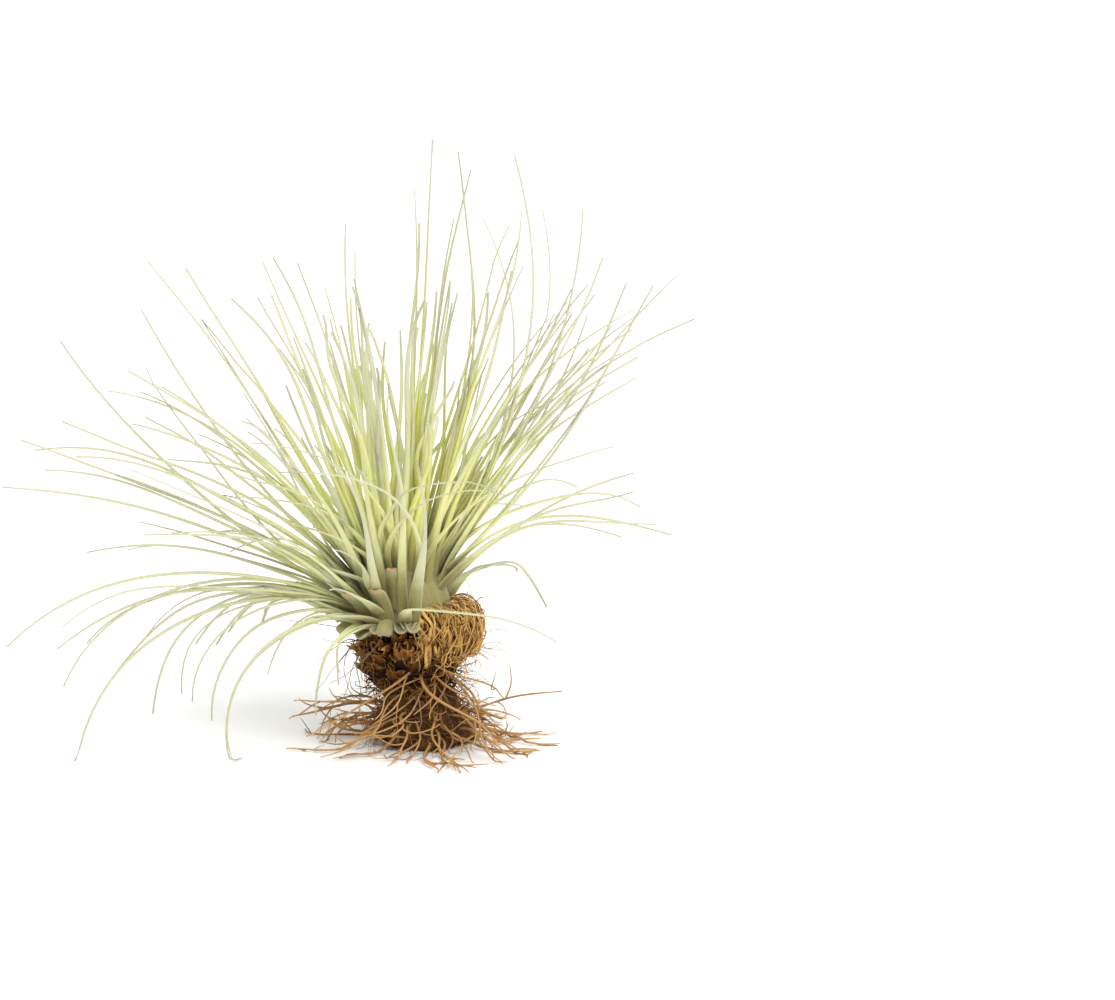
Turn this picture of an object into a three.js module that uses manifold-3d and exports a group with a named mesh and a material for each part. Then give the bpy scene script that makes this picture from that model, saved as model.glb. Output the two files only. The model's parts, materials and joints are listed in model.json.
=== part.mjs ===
// An air plant of the fine-leaved silver kind, picked with its root clump, standing on a flat surface.
// Millimetres, +Z up, +X to the viewer's right, +Y away from the viewer.
// The origin is the middle of the flat spot that the root clump rests on, and the stem's line starts there.
// Three things are modelled: the living leaves on their stem, the dry old sheaths below them, and the roots.
import * as THREE from "three";
import { mergeVertices } from "three/addons/utils/BufferGeometryUtils.js";
import Module from "manifold-3d";

// Stem: the line that everything grows from. It leans to the left and a little away from the viewer.
const LEAN_LEFT = 9;
const LEAN_BACK = 4;

// Distances up the stem from the surface, where the roots, the dry collar and the living leaves meet.
const ROOT_TOP = 17;
const COLLAR_TOP = 33.5;
const CROWN_TOP = 62;
const GAP = 0.3;

// Living leaves.
const CORE_RADIUS = 16;
const NODE_RADIUS = 15;
const RULE_LEAVES = 146;
const SKIRT_LEAVES = 24;
const GOLDEN_ANGLE = 137.508;
const SHEATH_WIDTH = 8.5;
const SHEATH_LENGTH = 27;
const BLADE_WIDTH = 2.6;
const TIP_WIDTH = 0.7;
const THINNEST = 0.6;
const LEAF_REST = 0.9;
const LEAF_SEED = 2417;

// Dry old sheaths.
const COLLAR_RADIUS = 16.5;
const COLLAR_SHEATHS = 28;
const BUNDLE_SHEATHS = 12;
const BUNDLE_WAY = -12;
const BUNDLE_SPREAD = 56;
const BUNDLE_REACH = 11;
const DRY_SEED = 505;

// Roots.
const MAT_RADIUS = 16;
const ROOTS = 54;
const ROOT_WIDTH = 1.1;
const ROOT_SEED = 911;

// The long leaves that give the plant its outline. Each has the way it points, seen from above (0 is right,
// 90 away and 180 left), how far that way turns along it, its angle above the horizon where it starts and
// where it ends, and its length. An age, from 0 inside to 1 outside, is given where the angle doesn't set it.
const LONG_LEAVES = [
  { way: 176, turn: 4, start: 30, end: 6, length: 118 },
  { way: 186, turn: -6, start: 36, end: 14, length: 115 },
  { way: 170, turn: 10, start: 26, end: 58, length: 125 },
  { way: 190, turn: -4, start: 58, end: 54, length: 118 },
  { way: 174, turn: 12, start: 42, end: 62, length: 108 },
  { way: 172, turn: -14, start: 60, end: 56, length: 112 },
  { way: 168, turn: 14, start: 54, end: 12, length: 101 },
  { way: 196, turn: -10, start: 44, end: 4, length: 98 },
  { way: 198, turn: -8, start: 26, end: -42, length: 114 },
  { way: 182, turn: 6, start: 26, end: -68, length: 107 },
  { way: 197, turn: 4, start: 22, end: -84, length: 113 },
  { way: 178, turn: -10, start: 22, end: -88, length: 90 },
  { way: 206, turn: -12, start: 18, end: -92, length: 66 },
  { way: 218, turn: -20, start: 14, end: -126, length: 84 },
  { way: 236, turn: -20, start: 6, end: -110, length: 42, age: 0.97 },
  { way: 180, turn: 8, start: 26, end: -6, length: 86 },
  { way: 168, turn: -8, start: 76, end: 60, length: 100 },
  { way: 188, turn: 16, start: 80, end: 70, length: 95 },
  { way: 150, turn: 20, start: 78, end: 90, length: 104 },
  { way: 14, turn: 10, start: 68, end: 104, length: 124 },
  { way: -8, turn: -8, start: 54, end: 106, length: 133 },
  { way: 20, turn: 12, start: 88, end: 84, length: 122 },
  { way: 40, turn: -10, start: 82, end: 76, length: 120 },
  { way: 12, turn: -8, start: 74, end: 24, length: 106, age: 0.3 },
  { way: 20, turn: 10, start: 76, end: 62, length: 102 },
  { way: 4, turn: -6, start: 52, end: 86, length: 122 },
  { way: -12, turn: 10, start: 54, end: 70, length: 110 },
  { way: 16, turn: 8, start: 48, end: 62, length: 110 },
  { way: -4, turn: -10, start: 44, end: 66, length: 112 },
  { way: 2, turn: 6, start: 58, end: 40, length: 118 },
  { way: 6, turn: 8, start: 62, end: 30, length: 96 },
  { way: -2, turn: -6, start: 66, end: 52, length: 100 },
  { way: 24, turn: 10, start: 60, end: 44, length: 104 },
  { way: 10, turn: -14, start: 70, end: 50, length: 92 },
  { way: -16, turn: 8, start: 58, end: 34, length: 92 },
  { way: 34, turn: -10, start: 52, end: 26, length: 96 },
  { way: 28, turn: -16, start: 34, end: 20, length: 74 },
  { way: -20, turn: 10, start: 40, end: 10, length: 70 },
  { way: 46, turn: -20, start: 30, end: -20, length: 90 },
  { way: 12, turn: -8, start: 52, end: -24, length: 74 },
  { way: -14, turn: 14, start: 46, end: -30, length: 80 },
  { way: -88, turn: 76, start: 20, end: -22, length: 78, age: 0.97 },
  { way: -62, turn: -120, start: 50, end: 2, length: 84 },
];

// Park and Miller's generator: the same draws in any language.
class Draw {
  constructor(seed) {
    this.state = seed;
  }
  between(low, high) {
    this.state = (this.state * 48271) % 2147483647;
    return low + ((high - low) * this.state) / 2147483647;
  }
}

const wasm = await Module();
wasm.setup();

const { degToRad: radians, radToDeg: degrees, lerp, smoothstep: smooth, clamp } = THREE.MathUtils;
const STEM = new THREE.Vector3(-Math.tan(radians(LEAN_LEFT)), Math.tan(radians(LEAN_BACK)), 1).normalize();
const LEAN_WAY = degrees(Math.atan2(STEM.y, STEM.x));
const LEAN = degrees(Math.acos(STEM.z));

// A point on the stem's line.
function stemPoint(height) {
  return STEM.clone().multiplyScalar(height);
}

// A direction from its way round the plant and its angle above the horizon, both in degrees.
function direction(way, rise) {
  const flat = Math.cos(radians(rise));
  const up = Math.sin(radians(rise));
  return new THREE.Vector3(flat * Math.cos(radians(way)), flat * Math.sin(radians(way)), up);
}

// Straight out from the stem, square to it.
function outwards(way) {
  return direction(way, 0).projectOnPlane(STEM).normalize();
}

// How far a way points towards another, from 1 to -1.
function towards(way, other) {
  return Math.cos(radians(way - other));
}

// A closed solid as a manifold, from geometry with any attributes.
function solid(geometry) {
  geometry.deleteAttribute("normal");
  geometry.deleteAttribute("uv");
  const merged = mergeVertices(geometry, 1e-4);
  return new wasm.Manifold(
    new wasm.Mesh({
      numProp: 3,
      vertProperties: new Float32Array(merged.attributes.position.array),
      triVerts: new Uint32Array(merged.index.array),
    }),
  );
}

// A solid of revolution about the stem, from [radius, height] pairs that start and end on the line.
// Lumps is the share by which its radius swells and sinks round it.
function turned(profile, sides, lumps = 0) {
  const lathe = new THREE.LatheGeometry(
    profile.map(([radius, height]) => new THREE.Vector2(radius, height)),
    sides,
  );
  const { position } = lathe.attributes;
  for (let i = 0; i < position.count; i++) {
    const [x, y, z] = [position.getX(i), position.getY(i), position.getZ(i)];
    const swell = 1 + lumps * Math.sin(3 * Math.atan2(z, x) + y / 2);
    position.setXYZ(i, x * swell, y, z * swell);
  }
  lathe.applyQuaternion(new THREE.Quaternion().setFromUnitVectors(new THREE.Vector3(0, 1, 0), STEM));
  return solid(lathe);
}

// A blade or strand along its centre line, whose entries are a point and the side that it is broad to.
// Each ring is a triangle, with two edges and a keel below, and the last point is the tip.
function keeled(line, widths, depths) {
  const position = [];
  const index = [0, 2, 1];
  const last = line.length - 1;
  line.forEach(({ point, side }, i) => {
    if (i === last) {
      position.push(...point);
      return;
    }
    const along = line[i + 1].point.clone().sub(line[Math.max(i - 1, 0)].point).normalize();
    const over = side.clone().projectOnPlane(along).normalize();
    const keel = over.clone().cross(along).normalize();
    position.push(...point.clone().addScaledVector(over, widths[i] / 2));
    position.push(...point.clone().addScaledVector(over, -widths[i] / 2));
    position.push(...point.clone().addScaledVector(keel, depths[i]));
  });
  for (let ring = 0; ring < last; ring++) {
    for (let corner = 0; corner < 3; corner++) {
      const here = 3 * ring + corner;
      const next = 3 * ring + ((corner + 1) % 3);
      if (ring === last - 1) index.push(here, next, 3 * last);
      else index.push(here, next, here + 3, next, next + 3, here + 3);
    }
  }
  const geometry = new THREE.BufferGeometry();
  geometry.setAttribute("position", new THREE.Float32BufferAttribute(position, 3));
  geometry.setIndex(index);
  return solid(geometry);
}

// The entries at some shares of a curved line. Its angle above the horizon goes from start to end, steeper by
// hug where it leaves the stem, its way turns and may wriggle, and where it meets the surface it lies on it.
function curve(root, { way, turn = 0, start, end, length, hug = 0, wriggle = 0, phase = 0 }, shares, rest) {
  const steps = 80;
  const point = root.clone();
  const line = [{ point: root, side: direction(way + 90, 0) }];
  for (let step = 1; step <= steps; step++) {
    const share = (step - 0.5) / steps;
    const rise = lerp(start, end, share ** 1.2) + hug * (1 - smooth(share * length, 0, 16));
    const heading = way + turn * share + wriggle * Math.sin(phase + 7 * share);
    point.addScaledVector(direction(heading, rise), length / steps);
    point.z = Math.max(point.z, rest);
    line.push({ point: point.clone(), side: direction(heading + 90, 0) });
  }
  return shares.map((share) => line[Math.round(share * steps)]);
}

// Every living leaf: the long ones, then those that the spiral rule places between them, outermost first.
// Those on the viewer's side stand steeper, some of them are worn down to their sheaths, and the old ones
// over the dry bundle have gone.
// A skirt of worn sheaths bends out under them all.
function leafPlan() {
  const draw = new Draw(LEAF_SEED);
  const plan = LONG_LEAVES.map((leaf) => ({
    ...leaf,
    age: leaf.age ?? clamp(1.12 - leaf.start / 74, 0.02, 0.98),
    wriggle: draw.between(-5, 5),
    phase: draw.between(0, 6),
  }));
  for (let i = 0; i < RULE_LEAVES; i++) {
    const age = 1 - (i + 0.5) / RULE_LEAVES;
    const way = (i * GOLDEN_ANGLE + draw.between(-14, 14)) % 360;
    const lean = LEAN * towards(way, LEAN_WAY) * lerp(0.35, 1, age);
    const start = lerp(16, 86, (1 - age) ** 0.8) + draw.between(-7, 7) - lean;
    const sag = (22 + 60 * age) * Math.cos(radians(Math.min(start, 84))) + draw.between(-24, 16);
    const length = lerp(122, 104, Math.abs(age - 0.45) * 2) * draw.between(0.74, 1.08);
    const turn = draw.between(-30, 30) * lerp(0.5, 1, age);
    const wriggle = draw.between(-9, 9);
    const phase = draw.between(0, 6);
    const short = draw.between(lerp(0.6, 0.3, smooth(0.6 - age, 0, 0.3)), 1);
    const front = Math.max(0, towards(way, -90)) * smooth(age, 0.3, 0.6);
    const steep = Math.min(88, start + 34 * front);
    const worn = age > 0.72 && front > 0.36 && i % 3 === 0;
    const gone = age > 0.6 && towards(way, BUNDLE_WAY) > Math.cos(radians(BUNDLE_SPREAD + 8));
    const stub = length * lerp(0.28, 0.12, age);
    if (gone) continue;
    if (worn) plan.push({ way, start: steep + 4, end: steep - 26, length: stub, age, worn });
    else {
      const end = steep - sag * (1 - 0.75 * front);
      plan.push({ way, turn, start: steep, end, length: length * short, age, wriggle, phase });
    }
  }
  for (let i = 0; i < SKIRT_LEAVES; i++) {
    const way = i * GOLDEN_ANGLE + draw.between(-8, 8);
    const start = draw.between(-14, 2) - LEAN * towards(way, LEAN_WAY);
    const end = start - draw.between(20, 60);
    const length = draw.between(5, 8.5);
    if (towards(way, BUNDLE_WAY) > Math.cos(radians(BUNDLE_SPREAD + 10))) continue;
    plan.push({ way, start, end, length, age: 0.98, worn: true });
  }
  return plan;
}

// A leaf's width at a share of its length: a broad sheath, a long tapering blade and a thread-like tip.
function leafWidth(share, leaf) {
  const widest = SHEATH_WIDTH * lerp(0.34, 1, leaf.age ** 1.2);
  const sheath = widest * clamp((SHEATH_LENGTH - share * leaf.length) / (SHEATH_LENGTH - 3), 0, 1) ** 1.15;
  const blade = leaf.worn ? BLADE_WIDTH : lerp(BLADE_WIDTH, TIP_WIDTH, share ** 0.85);
  return Math.max(sheath, blade);
}

// Where a leaf's rings are: closer along its sheath, unless the others hide it, and more of them the more it
// bends.
function leafShares(leaf) {
  if (leaf.worn) return [0, 0.3, 0.6, 0.95, 1];
  const rings = 2 + Math.round(Math.abs(leaf.start - leaf.end) / 22);
  const sheath = Math.min(0.6, SHEATH_LENGTH / leaf.length);
  const shares = leaf.age < 0.35 ? [0, sheath * 0.7] : [0, sheath * 0.45, sheath];
  for (let ring = 1; ring <= rings; ring++) shares.push(lerp(sheath, 1, ring / rings));
  return shares;
}

function leafRosette() {
  const bottom = COLLAR_TOP + GAP;
  const core = [[0, bottom], [CORE_RADIUS * 0.8, bottom]];
  for (const share of [0.15, 0.4, 0.62, 0.8, 0.95]) {
    core.push([CORE_RADIUS * Math.sqrt(1 - share ** 2.2), lerp(bottom, CROWN_TOP, share)]);
  }
  core.push([0, CROWN_TOP]);
  const pieces = [turned(core, 14)];
  for (const leaf of leafPlan()) {
    const height = lerp(CROWN_TOP - 5, bottom + 4, leaf.age);
    const radius = NODE_RADIUS * lerp(0.25, 1, leaf.age ** 0.7);
    const root = stemPoint(height).addScaledVector(outwards(leaf.way), radius);
    const shares = leafShares(leaf);
    const line = curve(root, { ...leaf, hug: 18 * leaf.age }, shares, LEAF_REST);
    const widths = shares.map((share) => leafWidth(share, leaf));
    const depths = widths.map((width) => Math.max(THINNEST, 0.36 * width));
    pieces.push(keeled(line, widths, depths));
  }
  return wasm.Manifold.union(pieces);
}

// The brown collar under the living leaves: curled papery sheaths on the old stem, with a bundle of them
// standing up against the crown on the right.
function dryCollar() {
  const draw = new Draw(DRY_SEED);
  const bottom = ROOT_TOP + GAP;
  const stem = [
    [0, bottom],
    [COLLAR_RADIUS - 5, bottom],
    [COLLAR_RADIUS - 3.5, lerp(bottom, COLLAR_TOP, 0.4)],
    [COLLAR_RADIUS - 2.5, lerp(bottom, COLLAR_TOP, 0.8)],
    [COLLAR_RADIUS - 5, COLLAR_TOP],
    [0, COLLAR_TOP],
  ];
  const pieces = [turned(stem, 14)];
  const shares = [0, 0.35, 0.7, 0.95, 1];
  for (let i = 0; i < COLLAR_SHEATHS; i++) {
    const share = i / (COLLAR_SHEATHS - 1);
    const way = i * GOLDEN_ANGLE + draw.between(-12, 12);
    const root = stemPoint(lerp(bottom + 2, COLLAR_TOP - 10.5, share));
    root.addScaledVector(outwards(way), COLLAR_RADIUS - lerp(6.5, 3.5, share));
    const start = draw.between(66, 84) - LEAN * towards(way, LEAN_WAY);
    const line = { way, start, end: start - draw.between(10, 70), length: draw.between(9, 10.5) };
    const width = draw.between(6.5, 9);
    const widths = [width, width, width * 0.8, width * 0.4];
    const depths = [2, 1.6, 1.2, 0.8];
    pieces.push(keeled(curve(root, line, shares, LEAF_REST), widths, depths));
  }
  for (let i = 0; i < BUNDLE_SHEATHS; i++) {
    const way = BUNDLE_WAY + BUNDLE_SPREAD * 0.85 * (((i * 0.618) % 1) * 2 - 1);
    const root = stemPoint(COLLAR_TOP - 5).addScaledVector(outwards(way), COLLAR_RADIUS - 4);
    const width = draw.between(5, 7);
    const reach = draw.between(10, 14);
    const line = [0, 0.28, 0.55, 0.8, 1].map((share) => {
      const out = BUNDLE_REACH * Math.sin(Math.min(1, share * 1.9) * (Math.PI / 2));
      const point = root.clone().addScaledVector(outwards(way), out);
      point.addScaledVector(STEM, reach * share ** 1.5);
      return { point, side: direction(way + 90, 0) };
    });
    const widths = [width, width, width * 0.9, width * 0.6];
    pieces.push(keeled(line, widths, [2, 1.2, 1, 0.8]));
  }
  return wasm.Manifold.union(pieces);
}

// The root clump: a matted mound with a flat spot, and wiry roots that leave it all round and run on over
// the surface.
function rootClump() {
  const draw = new Draw(ROOT_SEED);
  const mound = (height) => lerp(MAT_RADIUS, 11, smooth(height, 5, ROOT_TOP));
  const mat = [[0, -8], [MAT_RADIUS, -8]];
  for (const height of [4, 8, 11, 14, ROOT_TOP]) mat.push([mound(height), height]);
  mat.push([0, ROOT_TOP]);
  const below = new THREE.BoxGeometry(200, 200, 60).translate(0, 0, -30);
  const pieces = [turned(mat, 18, 0.1)];
  const shares = [0, 0.16, 0.34, 0.54, 0.76, 1];
  for (let i = 0; i < ROOTS; i++) {
    const way = i * GOLDEN_ANGLE + draw.between(-10, 10);
    const height = lerp(2.5, 12.5, i / ROOTS);
    const root = stemPoint(height).addScaledVector(direction(way, 0), mound(height) - 3.5);
    const line = {
      way,
      turn: draw.between(-60, 60),
      start: draw.between(-24, 16),
      end: draw.between(-60, 0),
      length: draw.between(18, 38),
      wriggle: draw.between(16, 36),
      phase: draw.between(0, 6),
    };
    const width = ROOT_WIDTH * draw.between(0.8, 1.2);
    const widths = shares.map(() => width);
    const depths = shares.map(() => width * 0.7);
    pieces.push(keeled(curve(root, line, shares, width * 0.8), widths, depths));
  }
  return wasm.Manifold.union(pieces).subtract(solid(below));
}

// A named mesh from a fused solid: its outer body, with the pockets that close up between blades filled.
function mesh(name, fused, colour, roughness) {
  const made = fused.decompose().sort((one, other) => other.volume() - one.volume())[0];
  const { vertProperties, triVerts } = made.getMesh();
  const geometry = new THREE.BufferGeometry();
  geometry.setAttribute("position", new THREE.BufferAttribute(vertProperties, 3));
  geometry.setIndex(new THREE.BufferAttribute(triVerts, 1));
  geometry.computeVertexNormals();
  const material = new THREE.MeshStandardMaterial({ color: colour, roughness, metalness: 0 });
  const node = new THREE.Mesh(geometry, material);
  node.name = name;
  return node;
}

const plant = new THREE.Group();
plant.add(
  mesh("leaf_rosette", leafRosette(), 0xc3cc8a, 0.75),
  mesh("dry_collar", dryCollar(), 0x9a6a34, 0.9),
  mesh("root_clump", rootClump(), 0xb98a55, 0.9),
);
export default plant;
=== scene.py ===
import json
import math
from dataclasses import dataclass, replace

import bmesh
import bpy
import numpy as np
from bpy.props import FloatProperty, FloatVectorProperty, IntProperty, PointerProperty
from bpy.types import Operator, Panel, PropertyGroup
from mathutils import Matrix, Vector

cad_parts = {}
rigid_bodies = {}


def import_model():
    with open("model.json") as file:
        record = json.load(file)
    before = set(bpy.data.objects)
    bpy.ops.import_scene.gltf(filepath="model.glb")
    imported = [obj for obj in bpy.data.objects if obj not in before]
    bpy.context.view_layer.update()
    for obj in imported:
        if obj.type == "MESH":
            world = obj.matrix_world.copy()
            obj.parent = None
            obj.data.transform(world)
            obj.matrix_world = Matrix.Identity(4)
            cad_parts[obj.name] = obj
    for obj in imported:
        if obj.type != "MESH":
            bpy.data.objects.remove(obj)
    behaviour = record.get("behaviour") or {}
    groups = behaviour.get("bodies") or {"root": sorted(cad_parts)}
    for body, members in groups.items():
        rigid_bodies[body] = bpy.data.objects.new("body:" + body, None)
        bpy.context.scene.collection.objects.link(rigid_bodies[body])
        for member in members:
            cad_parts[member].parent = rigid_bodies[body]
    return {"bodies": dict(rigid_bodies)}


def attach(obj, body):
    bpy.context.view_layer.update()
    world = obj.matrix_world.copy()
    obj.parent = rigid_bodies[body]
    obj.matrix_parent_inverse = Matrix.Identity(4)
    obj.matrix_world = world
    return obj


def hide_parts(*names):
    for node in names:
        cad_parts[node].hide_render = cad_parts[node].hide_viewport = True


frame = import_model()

bl_info = {
    "name": "Air Plant Looks",
    "version": (1, 0, 0),
    "blender": (4, 5, 0),
    "location": "View3D > Sidebar > Air Plant",
    "description": "Leaves, dry sheaths, roots and their finishes for a fine-leaved silver air plant",
    "category": "Object",
}

# Everything is worked out in millimetres and degrees, then written in metres.
MM = 0.001
RIDES_ON = "root" if "root" in frame["bodies"] else list(frame["bodies"])[0]
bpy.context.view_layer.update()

# Distances up the stem from the surface, as in the part.
ROOT_TOP = 17
COLLAR_TOP = 33.5
CROWN_TOP = 62
GAP = 0.3
COLLAR_FOOT = ROOT_TOP + GAP
CROWN_FOOT = COLLAR_TOP + GAP

# The part's rule for the leaves: the turn from one to the next, how far out the oldest grow, the steepest
# that one starts, the least height of its line, and the number of steps in a line.
GOLDEN_ANGLE = 137.508
NODE_RADIUS = 15
STEEPEST = 88
LEAF_REST = 0.9
CURVE_STEPS = 80

# Ways from above: to the viewer, and to the bundle, with how far to each side of it no leaves grow.
VIEWER_WAY = -90
BUNDLE_WAY = -12
BUNDLE_SPREAD = 56

# The bundle's middle above the collar's top, and how far its fibres spread to each side of its way.
BUNDLE_RISE = 1.5
BUNDLE_FAN = 42

# The root mound's radius at its top, and the pull of its own weight on a loose fibre.
ROOT_NECK = 11
DROOP = np.array([0, 0, -0.06])

# The long leaves that give the outline: the way each points from above, how far that way turns, its angle
# above the horizon at its start and end, its length and, where it isn't set by the start angle, its age.
LONG_LEAVES = [
    (176, 4, 30, 6, 118),
    (186, -6, 36, 14, 115),
    (170, 10, 26, 58, 125),
    (190, -4, 58, 54, 118),
    (174, 12, 42, 62, 108),
    (172, -14, 60, 56, 112),
    (168, 14, 54, 12, 101),
    (196, -10, 44, 4, 98),
    (198, -8, 26, -42, 114),
    (182, 6, 26, -68, 107),
    (197, 4, 22, -84, 113),
    (178, -10, 22, -88, 90),
    (206, -12, 18, -92, 66),
    (218, -20, 14, -126, 84),
    (236, -20, 6, -110, 42, 0.97),
    (180, 8, 26, -6, 86),
    (168, -8, 76, 60, 100),
    (188, 16, 80, 70, 95),
    (150, 20, 78, 90, 104),
    (14, 10, 68, 104, 124),
    (-8, -8, 54, 106, 133),
    (20, 12, 88, 84, 122),
    (40, -10, 82, 76, 120),
    (12, -8, 74, 24, 106, 0.3),
    (20, 10, 76, 62, 102),
    (4, -6, 52, 86, 122),
    (-12, 10, 54, 70, 110),
    (16, 8, 48, 62, 110),
    (-4, -10, 44, 66, 112),
    (2, 6, 58, 40, 118),
    (6, 8, 62, 30, 96),
    (-2, -6, 66, 52, 100),
    (24, 10, 60, 44, 104),
    (10, -14, 70, 50, 92),
    (-16, 8, 58, 34, 92),
    (34, -10, 52, 26, 96),
    (28, -16, 34, 20, 74),
    (-20, 10, 40, 10, 70),
    (46, -20, 30, -20, 90),
    (12, -8, 52, -24, 74),
    (-14, 14, 46, -30, 80),
    (-88, 76, 20, -22, 78, 0.97),
    (-62, -120, 50, 2, 84),
]


def tint(code):
    """A colour from its six-figure code, as the linear values that nodes take."""
    parts = [int(code[i : i + 2], 16) / 255 for i in (0, 2, 4)]
    return tuple(p / 12.92 if p <= 0.04045 else ((p + 0.055) / 1.055) ** 2.4 for p in parts)


# Kinds of setting


def colour(name, description, code):
    return FloatVectorProperty(
        name=name, description=description, default=tint(code), subtype="COLOR", size=3, min=0, max=1
    )


def extent(name, description, default, top=0.2):
    return FloatProperty(
        name=name, description=description, default=default, min=0, max=top, precision=4,
        subtype="DISTANCE", unit="LENGTH",
    )


def tilt(name, description, degrees, least, top):
    return FloatProperty(
        name=name, description=description, default=math.radians(degrees), min=least, max=top,
        subtype="ANGLE", unit="ROTATION",
    )


def level(name, description, default):
    return FloatProperty(name=name, description=description, default=default, min=0)


def number(name, description, default, top, least=0):
    return IntProperty(name=name, description=description, default=default, min=least, max=top)


def seed_of(draws, default):
    return IntProperty(name="Seed", description=f"Start of the {draws} draws", default=default, min=1)


class StemSettings(PropertyGroup):
    lean_left: tilt("Lean left", "How far the stem leans to the left", 9, -0.6, 0.6)
    lean_back: tilt("Lean back", "How far the stem leans away from the viewer", 4, -0.6, 0.6)


class LeafSettings(PropertyGroup):
    rule_leaves: number("Spiral leaves", "Places along the leaf spiral", 146, 300, 20)
    fine_leaves: number("Fine leaves", "Thinner leaves beside the long ones", 34, 150)
    curled_sheaths: number("Curled sheaths", "Rolled ends of old sheaths at the crown's foot", 8, 40)
    crown_leaves: number("Crown leaves", "Short leaves that overlap on the near side of the crown", 16, 80)
    crossing_leaves: number("Crossing leaves", "Thin arching leaves in front of the others", 7, 40)
    skirt_leaves: number("Skirt leaves", "Worn sheaths under the rosette", 24, 60)
    seed: seed_of("leaves'", 2417)
    sheath_width: extent("Sheath width", "Width of an outer leaf where it clasps the stem", 0.0068)
    sheath_length: extent("Sheath length", "How far up a leaf its sheath narrows", 0.027)
    blade_width: extent("Blade width", "Width of a blade above its sheath", 0.0021)
    tip_width: extent("Tip width", "Width of a blade's thread-like tip", 0.0008)
    sheath: colour("Sheath", "Scurfy grey-green of the sheaths", "857d44")
    blade: colour("Blade", "Pale green of the outer blades", "d9da9e")
    young: colour("Young blade", "Bright yellow-green of the inner blades", "e0e270")
    margin: colour("Margin", "Pale edge of a sheath and blade", "dcdbbc")
    thread: colour("Thread", "Silvery grey-green of the outer half of a blade", "b8b7a6")
    # Painted shade: a blade's edges are darkened towards this olive to stand in for the shade along its
    # sides.
    edge: colour("Blade edge", "Olive shade of a blade's edges", "93916e")
    scurf: colour("Scurf", "Pale silvery scales all over a leaf", "d8d8bc")
    sheen: colour("Sheen", "Soft shine of the scales", "eef2e0")
    tip: colour("Tip", "Dry thread at the end of a blade", "8c8a80")
    cut: colour("Worn edge", "Tan edge where a blade has worn off", "b08a62")


class CollarSettings(PropertyGroup):
    radius: extent("Collar radius", "Radius of the dry collar", 0.0165)
    sheaths: number("Sheaths", "Curled papery sheaths on the old stem", 40, 80)
    rim: number("Upper sheaths", "Old sheaths that curl out under the crown", 22, 60)
    scraps: number("Scraps", "Small torn scales between the sheaths", 60, 120)
    shreds: number("Shreds", "Narrow torn strips all over the collar", 200, 600)
    fibres: number("Fibres", "Fine fibres that peel from the old stem", 380, 600)
    loops: number("Bundle loops", "Looping fibres in the bundle on the right", 260, 500)
    ribbons: number("Bundle ribbons", "Papery strips looping with the fibres", 44, 200)
    strays: number("Stray fibres", "Loose ends that stand out of the bundle", 170, 400)
    threads: number("Dead threads", "Thin dead leaves that hang on the left", 16, 80)
    bundle_reach: extent("Bundle reach", "How far the bundle stands out", 0.011)
    seed: seed_of("dry sheaths'", 505)
    dark: colour("Dark sheath", "Deep brown between the old sheaths", "1c0d04")
    brown: colour("Brown sheath", "Papery brown of the old sheaths", "582b0b")
    amber: colour("Amber sheath", "Warm amber of an old sheath's upper half", "b57b36")
    straw: colour("Straw edge", "Pale curled edge of an old sheath", "cdab72")
    golden: colour("Bundle", "Golden tan of the looping fibres", "d6aa62")


class RootSettings(PropertyGroup):
    mat_radius: extent("Mat radius", "Radius of the matted root mound", 0.016)
    roots: number("Roots", "Wiry roots that leave the mound", 54, 120)
    high_roots: number("High roots", "Roots that leave the collar under the bundle", 13, 80)
    root_width: extent("Root width", "Thickness of a wiry root", 0.0009)
    branches: number("Branches", "Thinner side roots", 120, 300)
    hairs: number("Hairs", "Fine curly root hairs", 520, 1000)
    seed: seed_of("roots'", 911)
    tan: colour("Root", "Tan of the wiry roots", "a98150")
    brown: colour("Old root", "Brown of the older roots", "7a4f28")
    end: colour("Root end", "Pale end of a wiry root", "cfab78")
    mat: colour("Mat", "Dark brown of the matted mound", "3d2513")


class StageSettings(PropertyGroup):
    floor_size: extent("Floor size", "Side of the floor", 40.0, top=100)
    floor: colour("Floor", "Pale plain floor", "f7f7f6")
    distance: extent("Camera distance", "From the camera to the point it looks at", 0.790, top=5)
    elevation: tilt("Camera elevation", "How far the camera looks down", 8, 0, 1.5)
    lens: FloatProperty(
        name="Lens", description="Focal length", default=85, min=10, max=300, subtype="DISTANCE_CAMERA",
        unit="CAMERA",
    )
    sky: level("Sky light", "Strength of the soft light all round", 1.02)
    key: level("Key light", "Strength of the large soft front light", 2.0)


def settings(group):
    return getattr(bpy.context.scene, "air_plant_" + group)


# The rules that the part follows


class Draw:
    """Park and Miller's generator: the same draws in any language."""

    def __init__(self, seed):
        self.state = seed

    def between(self, low, high):
        self.state = (self.state * 48271) % 2147483647
        return low + (high - low) * self.state / 2147483647

    def anywhere(self):
        return np.array([self.between(-1, 1) for _ in range(3)])


def lerp(a, b, share):
    return a + (b - a) * share


def smooth(value, low, high):
    share = np.clip((value - low) / (high - low), 0, 1)
    return share * share * (3 - 2 * share)


def direction(way, rise):
    way, rise = np.radians(way), np.radians(rise)
    return np.stack([np.cos(rise) * np.cos(way), np.cos(rise) * np.sin(way), np.sin(rise) + 0 * way], -1)


def unit(vectors):
    return vectors / np.maximum(np.linalg.norm(vectors, axis=-1, keepdims=True), 1e-9)


def towards(way, other):
    return math.cos(math.radians(way - other))


def near_bundle(way, margin):
    """True for a way that the bundle takes up, with a margin in degrees."""
    return towards(way, BUNDLE_WAY) > math.cos(math.radians(BUNDLE_SPREAD + margin))


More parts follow.
